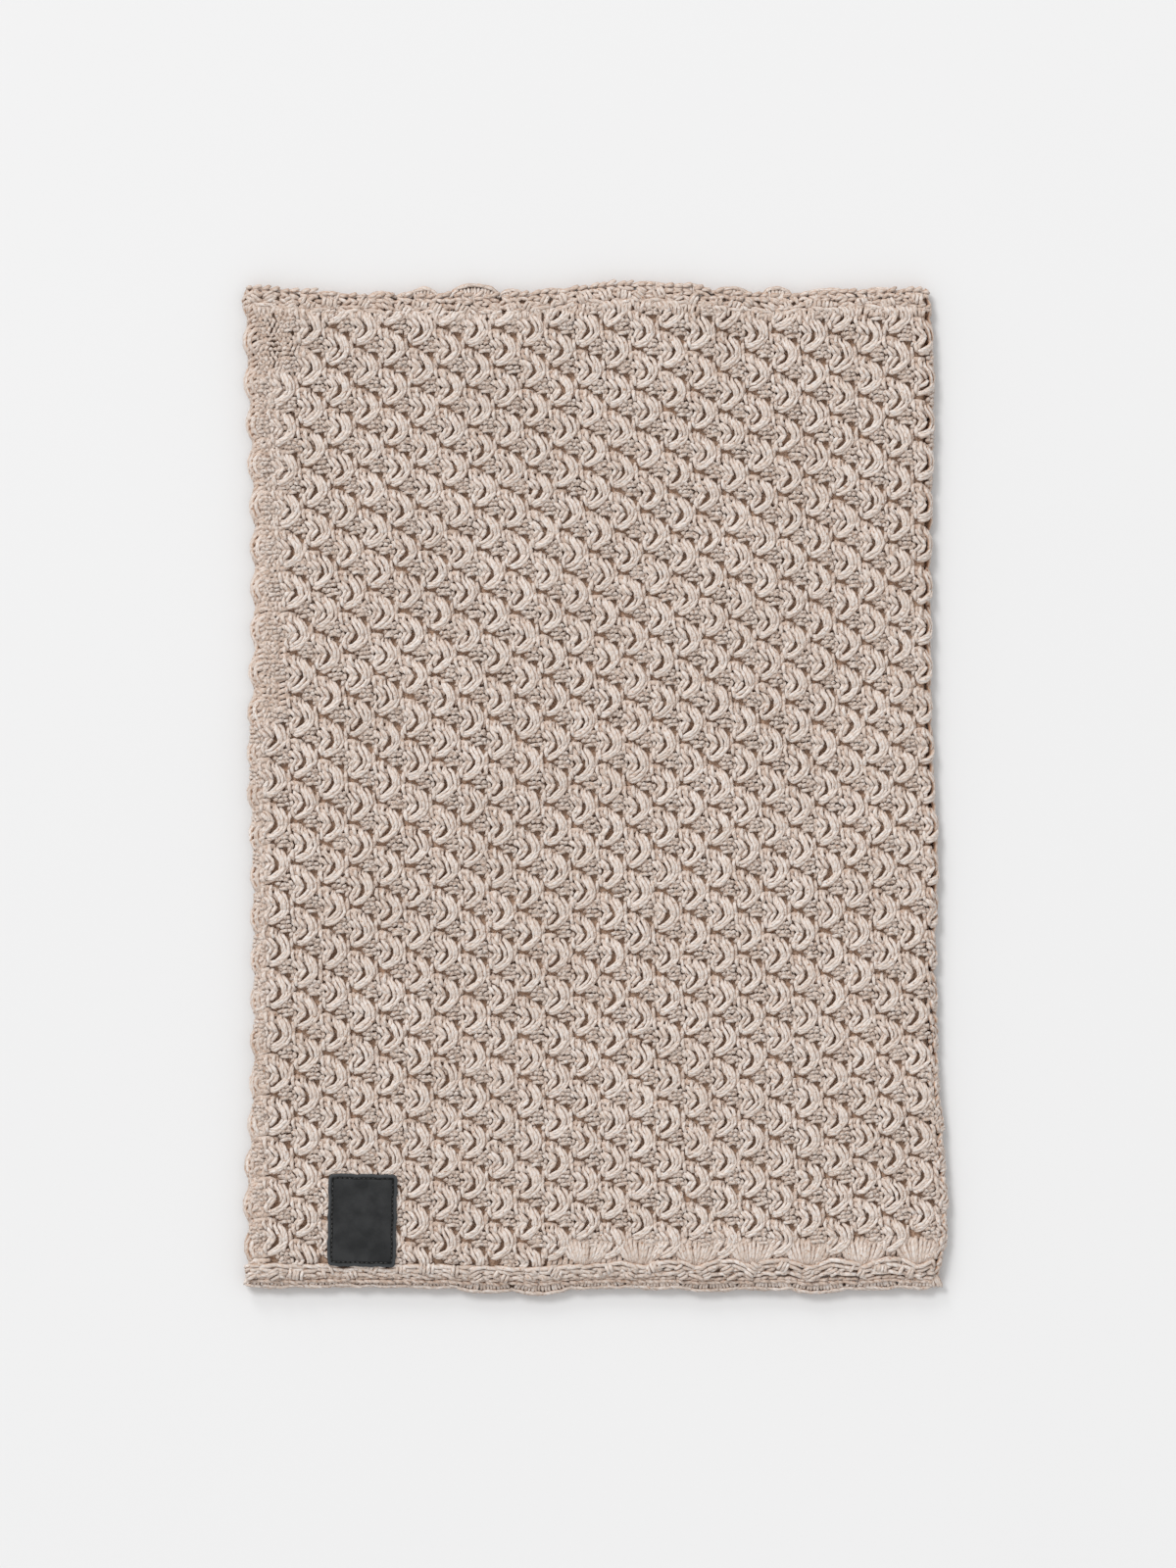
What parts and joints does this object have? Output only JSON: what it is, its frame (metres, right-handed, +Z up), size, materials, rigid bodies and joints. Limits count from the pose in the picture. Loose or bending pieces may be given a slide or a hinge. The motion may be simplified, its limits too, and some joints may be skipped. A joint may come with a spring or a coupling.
{
  "type": "infinity scarf",
  "caption": "Knitted infinity scarf laid flat: a wide cloth tube in a staggered curl cable pattern, open at both ends, with side seams and a leather label.",
  "frame": {"origin": "middle of the laid scarf's footprint, on the surface it lies on", "axes": "+X to the right across the tube, +Y up the scarf from the label end to the bound-off end, +Z up from the surface through both layers"},
  "size_m": [0.3146, 0.4512, 0.0112],
  "materials": {
    "cloth": "matte heathered beige knit",
    "edging": "matte heathered beige chain stitch",
    "leather": "satin near-black, sewn round its border"
  },
  "bodies": {
    "root": {"front_panel": "cloth", "back_panel": "cloth", "left_side_seam": "cloth", "right_side_seam": "cloth", "front_top_edging": "edging", "front_foot_edging": "edging", "back_top_edging": "edging", "back_foot_edging": "edging", "label": "leather"}
  },
  "joints": []
}
